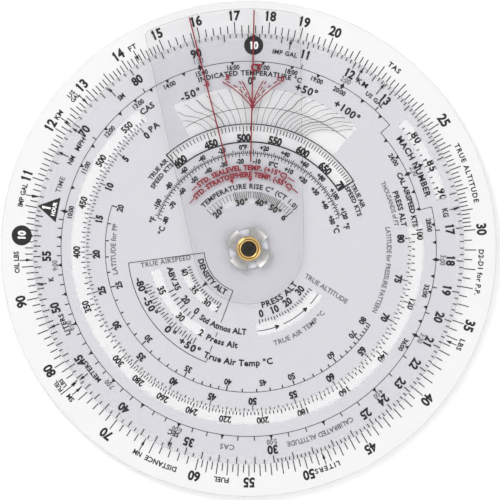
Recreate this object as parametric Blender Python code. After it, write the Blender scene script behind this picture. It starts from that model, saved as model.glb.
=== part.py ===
"""Circular flight computer: turning discs and a clear cursor held on one hollow rivet.

Metres, +Z up, with the calculator side facing up and the wind side facing down.
The origin is on the pivot, level with the lowest point of the rivet's rear curl.
Angles given as "clock" angles run clockwise from +Y, seen from above.
"""

import math

import bmesh
import bpy
from mathutils import Vector

MM = 0.001

# Diameters of the stack
BASE_DIAMETER = 152.4 * MM
FRONT_DISC_DIAMETER = 132.6 * MM
COURSE_DISC_DIAMETER = 132.6 * MM
WIND_DISC_DIAMETER = 110.0 * MM
SPACER_DIAMETER = 12.0 * MM
REAR_WASHER_DIAMETER = 13.9 * MM

# Hollow rivet, and the hole that every other piece keeps clear of it
RIVET_BORE = 4.3 * MM
RIVET_WALL = 0.35 * MM
RIVET_CURL_RADIUS = 0.64 * MM
RIVET_CLEARANCE = 0.3 * MM
RIVET_OUTER_RADIUS = RIVET_BORE / 2 + RIVET_WALL
HUB_HOLE_RADIUS = RIVET_OUTER_RADIUS + RIVET_CLEARANCE
CURL_HEIGHT = RIVET_CURL_RADIUS + RIVET_WALL / 2

# Gaps between sheets: free to turn, or bonded over their whole face
TURNING_GAP = 0.12 * MM
BOND_GAP = 0.06 * MM

# Sheets and washers from the wind side to the calculator side: name, gap below, thickness
STACK = (
    ("rear_washer", TURNING_GAP, 0.25 * MM),
    ("wind_disc", TURNING_GAP, 0.40 * MM),
    ("wind_disc_spacer", TURNING_GAP, 0.15 * MM),
    ("course_disc_overlay", TURNING_GAP, 0.12 * MM),
    ("course_disc", BOND_GAP, 0.40 * MM),
    ("course_disc_spacer", TURNING_GAP, 0.15 * MM),
    ("base_rear_overlay", TURNING_GAP, 0.15 * MM),
    ("base_disc", BOND_GAP, 0.80 * MM),
    ("base_front_overlay", BOND_GAP, 0.15 * MM),
    ("front_disc_spacer", TURNING_GAP, 0.15 * MM),
    ("front_disc_backing", TURNING_GAP, 0.12 * MM),
    ("front_disc", BOND_GAP, 0.40 * MM),
    ("cursor_spacer", TURNING_GAP, 0.15 * MM),
    ("cursor", TURNING_GAP, 0.50 * MM),
    ("spring_washer", TURNING_GAP, 0.30 * MM),
)

# Cursor: a round hub end, two straight sides that spread apart, and an outer edge on an arc
CURSOR_TURN = 6.7
CURSOR_HUB_RADIUS = 17.0 * MM
CURSOR_REACH = 73.8 * MM
CURSOR_HALF_SPREAD = 5.7
CURSOR_CORNER_RADIUS = 2.0 * MM

# Spring washer with turned-up petals
PETALS = 4
PETAL_FIRST_CLOCK = 31.0
PETAL_HALF_WIDTH = 27.0
PETAL_TIP_RADIUS = 6.95 * MM
PETAL_ROOT_RADIUS = 4.2 * MM
PETAL_LIFT = 0.45 * MM

# Clear windows through the grey backing: inner radius, outer radius, first and last clock angle
WINDOWS = {
    "mach": (60.3 * MM, 62.2 * MM, 51.5, 74.5),
    "airspeed": (51.3 * MM, 52.9 * MM, 87.5, 320.5),
    "temperature_curves": (39.0 * MM, 49.3 * MM, -26.8, 41.0),
    "true_airspeed": (33.3 * MM, 38.0 * MM, -41.0, 57.1),
    "temperature_rise": (15.0 * MM, 16.6 * MM, -44.0, 44.0),
    "true_altitude": (23.5 * MM, 26.4 * MM, 124.5, 172.5),
    "density_altitude": (20.0 * MM, 21.4 * MM, 208.5, 250.5),
    "pressure_altitude": (28.4 * MM, 30.3 * MM, 211.0, 253.5),
}
WINDOW_STEP = 4.0

DISC_SIDES = 120
HOLE_SIDES = 32
SPACER_SIDES = 48

COLOURS = {
    # name: (red, green, blue, alpha), roughness, metallic
    "white_pvc": ((0.90, 0.90, 0.92, 1.0), 0.35, 0.0),
    "grey_film": ((0.70, 0.69, 0.73, 1.0), 0.45, 0.0),
    "clear_pvc": ((0.92, 0.93, 0.95, 0.3), 0.12, 0.0),
    "frosted_pvc": ((0.88, 0.89, 0.90, 0.6), 0.60, 0.0),
    "nylon": ((0.85, 0.84, 0.80, 1.0), 0.50, 0.0),
    "brass": ((0.80, 0.58, 0.20, 1.0), 0.22, 1.0),
    "spring_steel": ((0.75, 0.75, 0.76, 1.0), 0.25, 1.0),
}


def clear_scene():
    for obj in list(bpy.data.objects):
        bpy.data.objects.remove(obj, do_unlink=True)


def material(name):
    """The named Principled material, made once."""
    made = bpy.data.materials.get(name)
    if made:
        return made
    colour, roughness, metallic = COLOURS[name]
    made = bpy.data.materials.new(name)
    made.use_nodes = True
    shader = made.node_tree.nodes["Principled BSDF"]
    shader.inputs["Base Color"].default_value = colour
    shader.inputs["Alpha"].default_value = colour[3]
    shader.inputs["Roughness"].default_value = roughness
    shader.inputs["Metallic"].default_value = metallic
    return made


def levels():
    """Bottom and top height of each piece in the stack."""
    found = {}
    height = CURL_HEIGHT
    for name, gap, thickness in STACK:
        bottom = height + gap
        height = bottom + thickness
        found[name] = (bottom, height)
    return found


def polar(radius, clock):
    """The flat point at a radius and a clock angle in degrees."""
    turn = math.radians(clock)
    return (radius * math.sin(turn), radius * math.cos(turn))


def circle(radius, sides):
    return [polar(radius, 360.0 * i / sides) for i in range(sides)]


def arc(radius, first, last, step):
    count = max(2, math.ceil(abs(last - first) / step))
    return [polar(radius, first + (last - first) * i / count) for i in range(count + 1)]


def window_outline(inner, outer, first, last):
    """A window between two arcs about the pivot."""
    return arc(outer, first, last, WINDOW_STEP) + arc(inner, last, first, WINDOW_STEP)


def sheet(name, outlines, bottom, top, finish):
    """A flat sheet: the first outline is its edge, and the others are holes in it."""
    flat = bpy.data.curves.new(name, "CURVE")
    flat.dimensions = "2D"
    flat.fill_mode = "BOTH"
    flat.extrude = (top - bottom) / 2
    for outline in outlines:
        spline = flat.splines.new("POLY")
        spline.points.add(len(outline) - 1)
        for point, (x, y) in zip(spline.points, outline):
            point.co = (x, y, 0.0, 1.0)
        spline.use_cyclic_u = True
    flat.materials.append(material(finish))
    obj = bpy.data.objects.new(name, flat)
    obj.location.z = (bottom + top) / 2
    bpy.context.scene.collection.objects.link(obj)
    return obj


def ring(name, diameter, sides, height, finish):
    """A round sheet or washer with the hub hole."""
    outlines = [circle(diameter / 2, sides), circle(HUB_HOLE_RADIUS, HOLE_SIDES)]
    return sheet(name, outlines, *height[name], finish)


def mesh_object(name, bm, finish):
    bmesh.ops.recalc_face_normals(bm, faces=bm.faces)
    mesh = bpy.data.meshes.new(name)
    bm.to_mesh(mesh)
    bm.free()
    mesh.materials.append(material(finish))
    mesh.shade_smooth()
    mesh.set_sharp_from_angle(angle=math.radians(35.0))
    obj = bpy.data.objects.new(name, mesh)
    bpy.context.scene.collection.objects.link(obj)
    return obj


def curl(height, radius, first, last, steps=8):
    """Points of a curled lip, in the X and Z plane, about the curl's own centre."""
    middle = RIVET_BORE / 2 + RIVET_WALL / 2 + RIVET_CURL_RADIUS
    points = []
    for i in range(steps + 1):
        turn = math.radians(first + (last - first) * i / steps)
        points.append(Vector((middle + radius * math.cos(turn), 0.0, height + radius * math.sin(turn))))
    return points


def make_eyelet(height):
    """One drawn tube of brass, with its lip curled outwards at both ends."""
    front = height["spring_washer"][1] + TURNING_GAP
    rear = CURL_HEIGHT
    outside = RIVET_CURL_RADIUS + RIVET_WALL / 2
    inside = RIVET_CURL_RADIUS - RIVET_WALL / 2
    profile = curl(front, outside, 180.0, 0.0) + curl(front, inside, 0.0, 180.0)
    profile += curl(rear, inside, -180.0, 0.0) + curl(rear, outside, 0.0, -180.0)
    bm = bmesh.new()
    rim = [bm.verts.new(point) for point in profile]
    edges = [bm.edges.new((rim[i - 1], rim[i])) for i in range(len(rim))]
    bmesh.ops.spin(
        bm,
        geom=rim + edges,
        cent=(0.0, 0.0, 0.0),
        axis=(0.0, 0.0, 1.0),
        angle=math.tau,
        steps=HOLE_SIDES,
        use_merge=True,
    )
    return mesh_object("eyelet", bm, "brass")


def petal_share(clock):
    """1 inside a petal, 0 in the notch between two, with a short slope between them."""
    pitch = 360.0 / PETALS
    off_centre = abs((clock - PETAL_FIRST_CLOCK + pitch / 2) % pitch - pitch / 2)
    slope = 5.0
    return min(1.0, max(0.0, (PETAL_HALF_WIDTH + slope - off_centre) / slope))


def make_spring_washer(height):
    """A thin ring whose four petals turn up towards their tips."""
    bottom, top = height["spring_washer"]
    sides = 72
    rings = 6
    bm = bmesh.new()
    layers = []
    for base in (bottom, top):
        grid = []
        for k in range(rings):
            row = []
            for i in range(sides):
                clock = 360.0 * i / sides
                reach = PETAL_ROOT_RADIUS + petal_share(clock) * (PETAL_TIP_RADIUS - PETAL_ROOT_RADIUS)
                radius = HUB_HOLE_RADIUS + (reach - HUB_HOLE_RADIUS) * k / (rings - 1)
                past_root = (radius - PETAL_ROOT_RADIUS) / (PETAL_TIP_RADIUS - PETAL_ROOT_RADIUS)
                lift = PETAL_LIFT * max(0.0, past_root) ** 1.5
                row.append(bm.verts.new((*polar(radius, clock), base + lift)))
            grid.append(row)
        layers.append(grid)
    lower, upper = layers
    for i in range(sides):
        j = (i + 1) % sides
        for k in range(rings - 1):
            for grid in layers:
                bm.faces.new((grid[k][i], grid[k][j], grid[k + 1][j], grid[k + 1][i]))
        for k in (0, rings - 1):
            bm.faces.new((lower[k][i], lower[k][j], upper[k][j], upper[k][i]))
    return mesh_object("spring_washer", bm, "spring_steel")


def corner_arc(centre, first, last, step):
    return [(centre[0] + x, centre[1] + y) for x, y in arc(CURSOR_CORNER_RADIUS, first, last, step)]


def cursor_outline():
    """The cursor's edge while it points along +Y."""
    spread = CURSOR_HALF_SPREAD
    side_angle = 90.0 + spread
    inset_side = CURSOR_HUB_RADIUS - CURSOR_CORNER_RADIUS
    inset_reach = CURSOR_REACH - CURSOR_CORNER_RADIUS
    corner_clock = math.degrees(math.acos(inset_side / inset_reach))
    right_corner = side_angle - corner_clock
    right_centre = polar(inset_reach, right_corner)
    left_centre = polar(inset_reach, -right_corner)
    outline = arc(CURSOR_REACH, -right_corner, right_corner, 2.0)
    outline += corner_arc(right_centre, right_corner, side_angle, 15.0)[1:]
    outline += arc(CURSOR_HUB_RADIUS, side_angle, 360.0 - side_angle, 5.0)
    outline += corner_arc(left_centre, 360.0 - side_angle, 360.0 - right_corner, 15.0)[:-1]
    return outline


def make_cursor(height):
    outlines = [cursor_outline(), circle(HUB_HOLE_RADIUS, HOLE_SIDES)]
    cursor = sheet("cursor", outlines, *height["cursor"], "clear_pvc")
    cursor.rotation_euler.z = math.radians(CURSOR_TURN)
    return cursor


def make_front_disc(height):
    """The clear front disc, and the grey film behind it that leaves the windows open."""
    ring("front_disc", FRONT_DISC_DIAMETER, DISC_SIDES, height, "clear_pvc")
    outlines = [circle(FRONT_DISC_DIAMETER / 2, DISC_SIDES), circle(HUB_HOLE_RADIUS, HOLE_SIDES)]
    outlines += [window_outline(*window) for window in WINDOWS.values()]
    sheet("front_disc_backing", outlines, *height["front_disc_backing"], "grey_film")


def make_base(height):
    """The white base disc between two clear overlays."""
    for name in ("base_front_overlay", "base_rear_overlay"):
        ring(name, BASE_DIAMETER, DISC_SIDES, height, "clear_pvc")
    ring("base_disc", BASE_DIAMETER, DISC_SIDES, height, "white_pvc")


def make_wind_side(height):
    """The course disc with its overlay, and the frosted wind disc over it."""
    ring("course_disc", COURSE_DISC_DIAMETER, DISC_SIDES, height, "white_pvc")
    ring("course_disc_overlay", COURSE_DISC_DIAMETER, DISC_SIDES, height, "clear_pvc")
    ring("wind_disc", WIND_DISC_DIAMETER, DISC_SIDES, height, "frosted_pvc")


def make_washers(height):
    """The thin nylon spacers that keep the discs apart at the hub, and the rear steel washer."""
    for name in ("wind_disc_spacer", "course_disc_spacer", "front_disc_spacer", "cursor_spacer"):
        ring(name, SPACER_DIAMETER, SPACER_SIDES, height, "nylon")
    ring("rear_washer", REAR_WASHER_DIAMETER, SPACER_SIDES, height, "spring_steel")


def main():
    clear_scene()
    height = levels()
    make_base(height)
    make_front_disc(height)
    make_cursor(height)
    make_wind_side(height)
    make_washers(height)
    make_spring_washer(height)
    make_eyelet(height)


main()
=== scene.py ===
"""Circular flight computer: fine sheets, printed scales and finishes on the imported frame.

Metres, +Z up, calculator side up and wind side down. "Clock" angles run clockwise in
degrees from +Y, seen from the calculator side, with every disc at its rest position.
"""

import math

import bpy
from bpy.props import FloatProperty, FloatVectorProperty, PointerProperty
from bpy.types import Operator, Panel, PropertyGroup
from mathutils import Matrix, Vector


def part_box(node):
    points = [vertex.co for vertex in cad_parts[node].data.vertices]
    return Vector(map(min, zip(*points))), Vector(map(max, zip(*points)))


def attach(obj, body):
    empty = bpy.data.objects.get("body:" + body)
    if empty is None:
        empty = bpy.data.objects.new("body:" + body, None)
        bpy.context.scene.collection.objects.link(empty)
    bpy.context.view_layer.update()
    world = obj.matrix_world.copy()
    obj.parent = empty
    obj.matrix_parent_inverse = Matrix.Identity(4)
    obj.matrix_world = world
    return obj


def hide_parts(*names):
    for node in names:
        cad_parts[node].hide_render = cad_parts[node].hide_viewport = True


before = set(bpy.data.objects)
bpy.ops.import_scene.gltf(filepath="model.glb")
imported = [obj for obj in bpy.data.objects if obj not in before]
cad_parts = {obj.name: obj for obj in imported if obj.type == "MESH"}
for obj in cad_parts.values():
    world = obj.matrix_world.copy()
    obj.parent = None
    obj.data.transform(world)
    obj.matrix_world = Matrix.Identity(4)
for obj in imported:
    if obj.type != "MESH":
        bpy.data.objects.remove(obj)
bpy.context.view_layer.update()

bl_info = {
    "name": "Circular flight computer", "version": (1, 0, 0), "blender": (4, 5, 0),
    "location": "View3D > Sidebar > Flight computer",
    "description": "Builds the sheets, hub and printed scales of a circular flight computer",
    "category": "Add Mesh",
}

MM = 0.001

# Places that the frame gives
BASE_LOW, BASE_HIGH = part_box("base_disc")
FRONT_LOW, FRONT_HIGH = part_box("front_disc")
CURSOR_LOW, CURSOR_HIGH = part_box("cursor")
COURSE_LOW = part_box("course_disc")[0]
WIND_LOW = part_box("wind_disc")[0]
EYELET_LOW, EYELET_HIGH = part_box("eyelet")
WASHER_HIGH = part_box("spring_washer")[1]
BASE_RADIUS = BASE_HIGH.x
FRONT_RADIUS = FRONT_HIGH.x

# Hub, as the solids have it
HOLE_RADIUS = 2.8 * MM
RIVET_BORE = 4.3 * MM
RIVET_WALL = 0.35 * MM
CURL_RADIUS = 0.64 * MM
CURL_MIDDLE = RIVET_BORE / 2 + RIVET_WALL / 2 + CURL_RADIUS
CURL_OUTSIDE = CURL_RADIUS + RIVET_WALL / 2
CURL_INSIDE = CURL_RADIUS - RIVET_WALL / 2
WASHER_THICKNESS = 0.3 * MM
PETALS = 4
PETAL_FIRST_CLOCK = 31.0
PETAL_HALF_WIDTH = 27.0
PETAL_TIP_RADIUS = 6.95 * MM
PETAL_ROOT_RADIUS = 4.2 * MM
PETAL_LIFT = 0.45 * MM
PETAL_SLOPE = 5.0

# Edges are shaded smooth below one angle and bevelled above the other; LEVEL tells a level face
SMOOTH_BELOW, BEVEL_ABOVE, LEVEL = math.radians(35.0), math.radians(40.0), 0.999

# Cursor, as the solid has it
CURSOR_CLOCK = -6.7
CURSOR_HUB_RADIUS = 17.0 * MM
CURSOR_REACH = 73.8 * MM
CURSOR_HALF_SPREAD = 5.7
CURSOR_CORNER_RADIUS = 2.0 * MM
HAIRLINE_CLOCK = 1.3
LEFT_HAIRLINE_CLOCK = -14.4

# Clear windows of the grey film: inner and outer radius, first and last clock angle, fade, in mm
WINDOWS = (
    (60.1, 62.3, 51.0, 75.0, 1.3), (50.4, 53.6, 82.5, 321.0, 1.5), (38.6, 49.4, -27.4, 41.5, 0.7),
    (33.2, 38.4, -41.2, 57.2, 0.5), (14.6, 16.8, -45.0, 45.0, 1.2), (23.2, 26.5, 123.5, 173.5, 0.9),
    (19.4, 21.6, 207.5, 252.0, 0.8), (28.1, 30.5, 209.0, 256.5, 0.9),
)
# The film's long airspeed window was registered a little off the pivot, like the rest of the film
FILM_SHIFT = (-0.45 * MM, 0.26 * MM, 0.0)

# Where the value 10 of each slide rule scale stands, and the instrument scales' own laws
OUTER_INDEX = 273.4
INNER_INDEX = 1.4
MACH_POINTER_CLOCK = 64.1
PRESSURE_SPREAD = 64.35
SOUND_SPEED = 661.5

CAP_SHARE = 0.69
NUMERAL_WEIGHT = 0.042
LABEL_WEIGHT = 0.034
THIN_WEIGHT = 0.014
DIGIT_ADVANCE = 0.5

# Stage: the floor's side, the dome's strength, and a long lens straight above
STAGE_SIZE = 3.0
DOME_STRENGTH = 1.46
CAMERA_LENS = 279.9
CAMERA_PLACE = (0.40 * MM, -0.35 * MM, 1.2)


def size_property(label, says, size):
    return FloatProperty(
        name=label, description=says, default=size, min=0.0, subtype="DISTANCE", unit="LENGTH", precision=5
    )


class SheetSizes(PropertyGroup):
    """Sizes of the sheets."""

    edge: size_property("Sheet edge radius", "Radius broken on the edge of each punched sheet", 0.25 * MM)


class PrintSizes(PropertyGroup):
    """Sizes of the printed marks."""

    ink: size_property("Ink thickness", "Thickness of the printed ink", 0.03 * MM)
    tick: size_property("Tick width", "Width of a scale tick", 0.30 * MM)
    hairline: size_property("Hairline width", "Width of the cursor's red hairlines", 0.42 * MM)
    numeral: size_property("Numeral height", "Height of the outer scale's numerals", 2.80 * MM)


def linear(hex_colour):
    """An sRGB hex colour as linear red, green and blue."""
    channels = [int(hex_colour[i : i + 2], 16) / 255.0 for i in (1, 3, 5)]
    return tuple(c / 12.92 if c <= 0.04045 else ((c + 0.055) / 1.055) ** 2.4 for c in channels)


def colour_property(label, says, hex_colour):
    return FloatVectorProperty(
        name=label, description=says, default=linear(hex_colour), min=0.0, max=1.0, size=3, subtype="COLOR",
    )


class Colours(PropertyGroup):
    """Colours of the sheets, inks and metals."""

    white: colour_property("White sheet", "Colour of the white core discs", "#d9d9da")
    grey: colour_property("Grey film", "Colour of the film behind the front disc", "#bfbec3")
    black: colour_property("Black ink", "Colour of the scales", "#0d0c0f")
    red: colour_property("Red ink", "Colour of the cursor's marks", "#7d0a20")
    pale: colour_property("Grey ink", "Colour of the thin labels", "#58575c")
    brass: colour_property("Brass", "Colour of the rivet", "#c3a26a")
    steel: colour_property("Steel", "Colour of the washers", "#e8e7e5")


# ---------------------------------------------------------------- shapes


def polar(radius, clock):
    """The flat point at a radius and a clock angle in degrees."""
    turn = math.radians(clock)
    return Vector((radius * math.sin(turn), radius * math.cos(turn)))


def only(*pieces):
    """Selects just these objects, with the first one active."""
    bpy.ops.object.select_all(action="DESELECT")
    for piece in pieces:
        piece.select_set(True)
    if pieces:
        bpy.context.view_layer.objects.active = pieces[0]


def renamed(piece, name):
    piece.name = name
    piece.data.name = name
    return piece


def close_up(piece, reach=1e-7):
    """Merges doubles and turns every face outwards."""
    only(piece)
    bpy.ops.object.mode_set(mode="EDIT")
    bpy.ops.mesh.select_all(action="SELECT")
    bpy.ops.mesh.remove_doubles(threshold=reach)
    bpy.ops.mesh.normals_make_consistent(inside=False)
    bpy.ops.object.mode_set(mode="OBJECT")


def shade(piece):
    """Shades the rounded edges smooth and keeps the large level faces truly flat."""
    only(piece)
    bpy.ops.object.shade_smooth_by_angle(angle=SMOOTH_BELOW)
    for face in piece.data.polygons:
        if abs(face.normal.z) > LEVEL:
            face.use_smooth = False


def round_edges(piece, width, segments=2):
    """Breaks the sharp edges with a small radius, and shades the rest smooth."""
    only(piece)
    bevel = piece.modifiers.new("edge", "BEVEL")
    bevel.width = width
    bevel.segments = segments
    bevel.limit_method = "ANGLE"
    bevel.angle_limit = BEVEL_ABOVE
    bpy.ops.object.modifier_apply(modifier=bevel.name)
    shade(piece)


def dress(piece, finish, body, slot, *nodes):
    """Gives a piece its material and its body, and hides the solids that it stands for. The slot is not used.
    """
    piece.data.materials.clear()
    piece.data.materials.append(finish)
    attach(piece, body)
    if nodes:
        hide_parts(*nodes)
    return piece


def turned(name, section, steps):
    """A ring spun about the pivot from its closed section of (radius, height) points."""
    only()
    bpy.ops.mesh.primitive_circle_add(vertices=len(section), radius=BASE_RADIUS, location=(0, 0, 0))
    ring = bpy.context.object
    for vertex, (radius, height) in zip(ring.data.vertices, section):
        vertex.co = (radius, 0.0, height)
    bpy.ops.object.mode_set(mode="EDIT")
    bpy.ops.mesh.select_all(action="SELECT")
    bpy.ops.mesh.spin(steps=steps, angle=math.tau, center=(0, 0, 0), axis=(0, 0, 1))
    bpy.ops.object.mode_set(mode="OBJECT")
    close_up(ring)
    return renamed(ring, name)


def rounded_section(corners, steps=3):
    """A closed section from (radius, height, corner radius, first angle) corners."""
    points = []
    for x, z, rounding, first in corners:
        middle_x = x - rounding * math.copysign(1.0, math.cos(math.radians(first + 45.0)))
        middle_z = z - rounding * math.copysign(1.0, math.sin(math.radians(first + 45.0)))
        for i in range(steps + 1):
            turn = math.radians(first + 90.0 * i / steps)
            points.append((middle_x + rounding * math.cos(turn), middle_z + rounding * math.sin(turn)))
    return points


def punched_disc(name, node, edge, steps=240):
    """A flat disc the size of its solid, with a rounded rim and a finely broken hub hole."""
    low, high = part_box(node)
    radius = high.x
    rim = min(edge, (high.z - low.z) * 0.42)
    hole = 0.03 * MM
    section = rounded_section(
        (
            (HOLE_RADIUS, low.z, hole, 180.0), (radius, low.z, rim, 270.0), (radius, high.z, rim, 0.0),
            (HOLE_RADIUS, high.z, hole, 90.0),
        )
    )
    disc = turned(name, section, steps)
    shade(disc)
    return disc


# ---------------------------------------------------------------- finishes


def add_node(tree, kind, settings=None, links=None):
    """Adds a shader node, sets its values, and links its inputs from other nodes' outputs."""
    node = tree.nodes.new("ShaderNode" + kind)
    for key, value in (settings or {}).items():
        if isinstance(key, str) and hasattr(node, key):
            setattr(node, key, value)
        else:
            node.inputs[key].default_value = value
    for key, source in (links or {}).items():
        tree.links.new(source, node.inputs[key])
    return node


def new_finish(name):
    """An empty node material, its tree, and the Object coordinates that its patterns read."""
    finish = bpy.data.materials.new(name)
    finish.use_nodes = True
    finish.node_tree.nodes.clear()
    return finish, finish.node_tree, add_node(finish.node_tree, "TexCoord").outputs["Object"]


def surfaced(finish, shader):
    """The finish, with this shader on its surface."""
    add_node(finish.node_tree, "OutputMaterial", {}, {"Surface": shader.outputs[0]})
    return finish


def rgba(colour):
    return (*colour, 1.0)


def shifted(colour, share):
    return tuple(min(1.0, c * share) for c in colour)


def speckled(tree, place, colour, scale, spread):
    """A colour that wanders a little up and down in soft patches."""
    noise = add_node(tree, "TexNoise", {"Scale": scale, "Detail": 3.0, "Roughness": 0.55}, {"Vector": place})
    blend = add_node(tree, "Mix", {"data_type": "RGBA"})
    blend.inputs[6].default_value = rgba(shifted(colour, 1.0 - spread))
    blend.inputs[7].default_value = rgba(shifted(colour, 1.0 + spread))
    tree.links.new(noise.outputs["Fac"], blend.inputs[0])
    return blend.outputs[2], noise.outputs["Fac"]


def ranged(tree, source, low, high):
    return add_node(tree, "MapRange", {"To Min": low, "To Max": high}, {"Value": source}).outputs["Result"]


def calendered_pvc(name, colour):
    """Rigid white PVC, calendered between satin rolls: an even, faintly pebbled satin face."""
    finish, tree, place = new_finish(name)
    tone, patches = speckled(tree, place, colour, 60.0, 0.012)
    # Satin roll grain of about 0.3 mm
    grain = add_node(tree, "TexNoise", {"Scale": 3300.0, "Detail": 2.0}, {"Vector": place})
    bump = add_node(tree, "Bump", {"Strength": 0.12, "Distance": 0.00003}, {"Height": grain.outputs["Fac"]})
    gloss = ranged(tree, patches, 0.36, 0.48)
    shader = add_node(
        tree, "BsdfPrincipled", {"IOR": 1.53},
        {"Base Color": tone, "Roughness": gloss, "Normal": bump.outputs["Normal"]},
    )
    return surfaced(finish, shader)


def clear_pvc(name, tint, roughness, edge_shade, index):
    """Clear press-polished PVC: nearly colourless, with a soft mirror that grows at its edges."""
    finish, tree, place = new_finish(name)
    # Fine rub marks from sliding, a few tenths of a millimetre wide
    rub = add_node(tree, "TexNoise", {"Scale": 900.0, "Detail": 4.0}, {"Vector": place})
    # Painted shade: the see-through tint darkens on the cut edges, because light runs along inside the sheet,
    # so its cut edges look darker than its faces
    upright = add_node(tree, "SeparateXYZ", {}, {0: add_node(tree, "NewGeometry").outputs["Normal"]})
    level = add_node(tree, "Math", {"operation": "ABSOLUTE"}, {0: upright.outputs["Z"]})
    cut = add_node(
        tree, "MapRange", {"From Min": 0.30, "From Max": 0.96, "To Min": 1.0, "To Max": 0.0},
        {"Value": level.outputs[0]},
    )
    shade = add_node(tree, "Mix", {"data_type": "RGBA"}, {0: cut.outputs["Result"]})
    shade.inputs[6].default_value = rgba(tint)
    shade.inputs[7].default_value = rgba(shifted(tint, edge_shade))
    through = add_node(tree, "BsdfTransparent", {}, {"Color": shade.outputs[2]})
    gloss = add_node(
        tree, "BsdfGlossy", {"Color": (1.0, 1.0, 1.0, 1.0)},
        {"Roughness": ranged(tree, rub.outputs["Fac"], roughness * 0.7, roughness * 1.3)},
    )
    mirror = add_node(tree, "Fresnel", {"IOR": index})
    back = add_node(tree, "NewGeometry")
    front = add_node(tree, "Math", {"operation": "SUBTRACT", 0: 1.0}, {1: back.outputs["Backfacing"]})
    share = add_node(tree, "Math", {"operation": "MULTIPLY"}, {0: mirror.outputs[0], 1: front.outputs[0]})
    both = add_node(tree, "MixShader", {}, {0: share.outputs[0], 1: through.outputs[0], 2: gloss.outputs[0]})
    return surfaced(finish, both)


def window_distance(tree, place, window):
    """How far a point lies outside one window, as a share of that window's fade."""
    inner, outer, first, last, fade = window
    inner, outer, fade = inner * MM, outer * MM, fade * MM
    middle = math.radians((first + last) / 2)
    half = math.radians((last - first) / 2)
    turned_place = add_node(
        tree, "VectorRotate", {"rotation_type": "Z_AXIS", "Angle": middle}, {"Vector": place}
    )
    split = add_node(tree, "SeparateXYZ", {}, {"Vector": turned_place.outputs["Vector"]})
    x, y = split.outputs["X"], split.outputs["Y"]

    def sum_up(operation, *values):
        settings = {"operation": operation}
        links = {}
        for socket, value in enumerate(values):
            if isinstance(value, (int, float)):
                settings[socket] = value
            else:
                links[socket] = value
        return add_node(tree, "Math", settings, links).outputs[0]

    across = sum_up("POWER", x, 2.0)
    along = sum_up("POWER", y, 2.0)
    radius = sum_up("SQRT", sum_up("ADD", across, along))
    off_ring = sum_up("MAXIMUM", sum_up("SUBTRACT", inner, radius), sum_up("SUBTRACT", radius, outer))
    off_ring = sum_up("MAXIMUM", off_ring, 0.0)
    turn = sum_up("ABSOLUTE", sum_up("ARCTAN2", x, y))
    off_end = sum_up("MULTIPLY", sum_up("MAXIMUM", sum_up("SUBTRACT", turn, half), 0.0), radius)
    squares = sum_up("ADD", sum_up("POWER", off_ring, 2.0), sum_up("POWER", off_end, 2.0))
    return sum_up("DIVIDE", sum_up("SQRT", squares), fade)


def grey_film(name, colour):
    """Grey film printed on polyester, faded to nothing in a fine tint round each clear window."""
    finish, tree, place = new_finish(name)
    tone, patches = speckled(tree, place, colour, 45.0, 0.008)
    shifted_place = add_node(
        tree, "VectorMath", {"operation": "SUBTRACT", 1: FILM_SHIFT}, {0: place}
    ).outputs["Vector"]
    nearest = None
    for number, window in enumerate(WINDOWS):
        distance = window_distance(tree, shifted_place if number == 1 else place, window)
        if nearest is None:
            nearest = distance
        else:
            nearest = add_node(tree, "Math", {"operation": "MINIMUM"}, {0: nearest, 1: distance}).outputs[0]
    cover = add_node(
        tree, "MapRange",
        {"interpolation_type": "SMOOTHSTEP", "From Min": 0.0, "From Max": 1.0}, {"Value": nearest},
    )
    # Painted light: the film thins towards the front disc's rim, standing in for the brighter band that light
    # makes along that edge
    reach = add_node(tree, "VectorMath", {"operation": "LENGTH"}, {0: place})
    painted_rim_light = add_node(
        tree, "MapRange", {"From Min": 63.2 * MM, "From Max": FRONT_RADIUS, "To Min": 1.0, "To Max": 0.25},
        {"Value": reach.outputs["Value"]},
    )
    alpha = add_node(
        tree, "Math", {"operation": "MULTIPLY"}, {0: cover.outputs["Result"], 1: painted_rim_light.outputs["Result"]},
    )
    shader = add_node(
        tree, "BsdfPrincipled", {"IOR": 1.5},
        {"Base Color": tone, "Roughness": ranged(tree, patches, 0.50, 0.60), "Alpha": alpha.outputs[0]},
    )
    return surfaced(finish, shader)


def frosted_pvc(name, tint):
    """Sand-blasted clear PVC that takes pencil: milky, matt and half see-through."""
    finish, tree, place = new_finish(name)
    # Blast pits of about 0.15 mm, drawn at 0.3 mm so that they show
    pits = add_node(tree, "TexNoise", {"Scale": 3300.0, "Detail": 2.0}, {"Vector": place})
    bump = add_node(tree, "Bump", {"Strength": 0.25, "Distance": 0.00003}, {"Height": pits.outputs["Fac"]})
    milk = add_node(
        tree, "BsdfPrincipled", {"Base Color": rgba(tint), "Roughness": 0.62, "IOR": 1.53},
        {"Normal": bump.outputs["Normal"]},
    )
    through = add_node(tree, "BsdfTransparent", {"Color": rgba((0.97, 0.97, 0.98))})
    both = add_node(
        tree, "MixShader", {},
        {0: ranged(tree, pits.outputs["Fac"], 0.16, 0.26), 1: through.outputs[0], 2: milk.outputs[0]},
    )
    return surfaced(finish, both)


def screen_ink(name, colour):
    """Screen-printed vinyl ink: dense and matt, a touch uneven where it is thin."""
    finish, tree, place = new_finish(name)
    tone, patches = speckled(tree, place, colour, 1400.0, 0.12)
    shader = add_node(
        tree, "BsdfPrincipled", {"IOR": 1.48},
        {"Base Color": tone, "Roughness": ranged(tree, patches, 0.45, 0.65)},
    )
    return surfaced(finish, shader)


def moulded_nylon(name, colour):
    """Natural nylon, stamped from sheet: warm white, waxy and slightly mottled."""
    finish, tree, place = new_finish(name)
    tone, patches = speckled(tree, place, colour, 500.0, 0.03)
    shader = add_node(
        tree, "BsdfPrincipled", {"IOR": 1.53, "Subsurface Weight": 0.2, "Subsurface Scale": 0.0005},
        {"Base Color": tone, "Roughness": ranged(tree, patches, 0.42, 0.55)},
    )
    return surfaced(finish, shader)


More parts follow.
